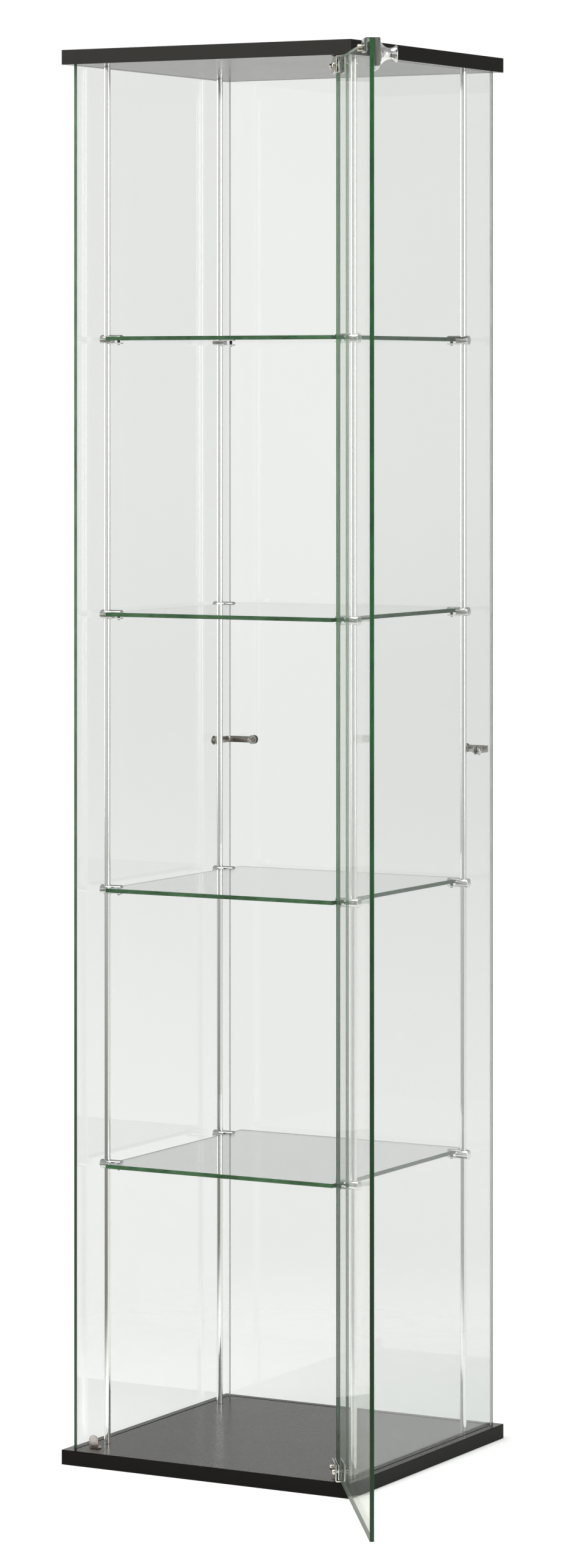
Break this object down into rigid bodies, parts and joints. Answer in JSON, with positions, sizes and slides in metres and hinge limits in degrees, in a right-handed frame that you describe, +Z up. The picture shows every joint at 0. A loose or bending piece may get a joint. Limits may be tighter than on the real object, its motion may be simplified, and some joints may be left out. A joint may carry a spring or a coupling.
{
  "type": "glass display case",
  "caption": "Tall square display case with black boards at top and bottom, glass walls, rod-mounted glass shelves and a frameless glass door on corner pivots.",
  "frame": {"origin": "middle of the base board's underside, on the floor", "axes": "+Z up; -Y towards the open front, where the door is; +X towards the door's pivots, the right-hand side seen from the front"},
  "size_m": [0.5918, 0.6706, 1.72],
  "materials": {
    "foil_board": "particle board with a satin black-brown foil",
    "pane_glass": "clear float glass, ground edges",
    "shelf_glass": "clear float glass, ground edges",
    "door_glass": "clear toughened glass, ground edges",
    "rod_chrome": "polished chrome",
    "clip_chrome": "satin chrome",
    "zinc_steel": "zinc-plated",
    "warm_nickel": "nickel-plated",
    "pale_brass": "pale brass plated",
    "pivot_nylon": "natural nylon",
    "clear_rubber": "clear soft bumper"
  },
  "bodies": {
    "cabinet": {"back_pane": "pane_glass", "base_bolt_back_left": "zinc_steel", "base_bolt_back_right": "zinc_steel", "base_bolt_front_left": "zinc_steel", "base_bolt_front_right": "zinc_steel", "base_panel": "foil_board", "clip_1_back_left": "clip_chrome", "clip_1_back_right": "clip_chrome", "clip_1_front_left": "clip_chrome", "clip_1_front_right": "clip_chrome", "clip_2_back_left": "clip_chrome", "clip_2_back_right": "clip_chrome", "clip_2_front_left": "clip_chrome", "clip_2_front_right": "clip_chrome", "clip_3_back_left": "clip_chrome", "clip_3_back_right": "clip_chrome", "clip_3_front_left": "clip_chrome", "clip_3_front_right": "clip_chrome", "clip_4_back_left": "clip_chrome", "clip_4_back_right": "clip_chrome", "clip_4_front_left": "clip_chrome", "clip_4_front_right": "clip_chrome", "corner_strap_left": "zinc_steel", "corner_strap_right": "zinc_steel", "left_pane": "pane_glass", "pivot_bush_bottom": "pivot_nylon", "pivot_bush_top": "pivot_nylon", "right_pane": "pane_glass", "rod_back_left": "rod_chrome", "rod_back_right": "rod_chrome", "rod_front_left": "rod_chrome", "rod_front_right": "rod_chrome", "shelf_1": "shelf_glass", "shelf_2": "shelf_glass", "shelf_3": "shelf_glass", "shelf_4": "shelf_glass", "stop_bracket": "warm_nickel", "stop_bumper": "clear_rubber", "stop_screw": "zinc_steel", "strap_screw_left_rear": "zinc_steel", "strap_screw_left_side": "zinc_steel", "strap_screw_right_rear": "zinc_steel", "strap_screw_right_side": "zinc_steel", "top_bolt_back_left": "zinc_steel", "top_bolt_back_right": "zinc_steel", "top_bolt_front_left": "zinc_steel", "top_bolt_front_right": "zinc_steel", "top_panel": "foil_board"},
    "door": {"door_pane": "door_glass", "hinge_clamp_bottom": "warm_nickel", "hinge_clamp_top": "warm_nickel", "hinge_plate_bottom": "zinc_steel", "hinge_plate_top": "zinc_steel", "hinge_screw_bottom_1": "warm_nickel", "hinge_screw_bottom_2": "warm_nickel", "hinge_screw_top_1": "warm_nickel", "hinge_screw_top_2": "warm_nickel", "knob": "rod_chrome", "knob_clamp": "rod_chrome", "knob_screw": "pale_brass"}
  },
  "joints": [
    {"name": "door_hinge", "type": "hinge", "parent": "cabinet", "child": "door", "pos_m": [0.1695, -0.1803, 0.86], "axis": [0, 0, 1], "range_deg": [-124.5, 4]}
  ]
}
